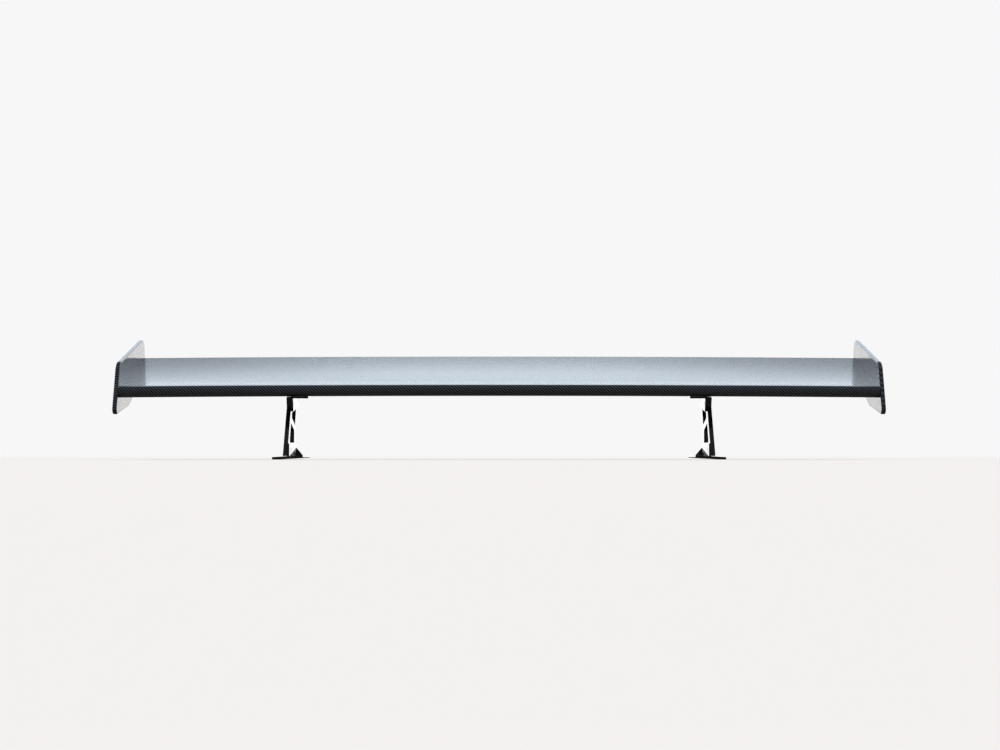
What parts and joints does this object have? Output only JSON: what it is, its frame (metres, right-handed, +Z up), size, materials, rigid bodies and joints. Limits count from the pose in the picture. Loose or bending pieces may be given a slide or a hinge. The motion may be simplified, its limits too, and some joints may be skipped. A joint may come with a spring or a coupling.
{
  "type": "racing rear wing",
  "caption": "Wide carbon rear wing with swept end plates on two black swept uprights with rolled feet; its angle of attack adjusts.",
  "frame": {"origin": "middle of the whole wing's box, at the level of the lowest edge of the foot pads", "axes": "+X across the car to its right as seen from in front, +Y to the rear, +Z up"},
  "size_m": [1.408, 0.2834, 0.2312],
  "materials": {
    "gloss_carbon": "clear-coated twill carbon fibre",
    "black_aluminium": "satin black anodised plate",
    "bare_aluminium": "mill finish",
    "hard_foam": "dense structural foam",
    "plain_steel": "zinc plated",
    "black_steel": "black oxide",
    "pad_rubber": "matt"
  },
  "bodies": {
    "stand": {"left_upright": "black_aluminium", "right_upright": "black_aluminium", "left_foot": "black_aluminium", "right_foot": "black_aluminium", "left_foot_pad": "pad_rubber", "right_foot_pad": "pad_rubber", "foot_bolts": "black_steel", "foot_nuts": "plain_steel"},
    "wing": {"upper_skin": "gloss_carbon", "lower_skin": "gloss_carbon", "left_end_plate": "gloss_carbon", "right_end_plate": "gloss_carbon", "left_wing_bracket": "black_aluminium", "right_wing_bracket": "black_aluminium", "front_spar": "bare_aluminium", "rear_spar": "bare_aluminium", "left_tip_rib": "hard_foam", "right_tip_rib": "hard_foam", "left_mount_block": "hard_foam", "right_mount_block": "hard_foam", "tip_inserts": "plain_steel", "mount_inserts": "plain_steel", "pivot_nuts": "plain_steel", "clamp_nuts": "plain_steel", "end_plate_screws": "black_steel", "end_plate_washers": "black_steel", "wing_bracket_bolts": "black_steel", "wing_bracket_washers": "black_steel", "pivot_bolts": "black_steel", "clamp_bolts": "black_steel", "clamp_washers": "black_steel"}
  },
  "joints": [
    {"name": "wing_angle", "type": "hinge", "parent": "stand", "child": "wing", "pos_m": [0, -0.06775, 0.1032], "axis": [1, 0, 0], "range_deg": [-3, 7]}
  ]
}
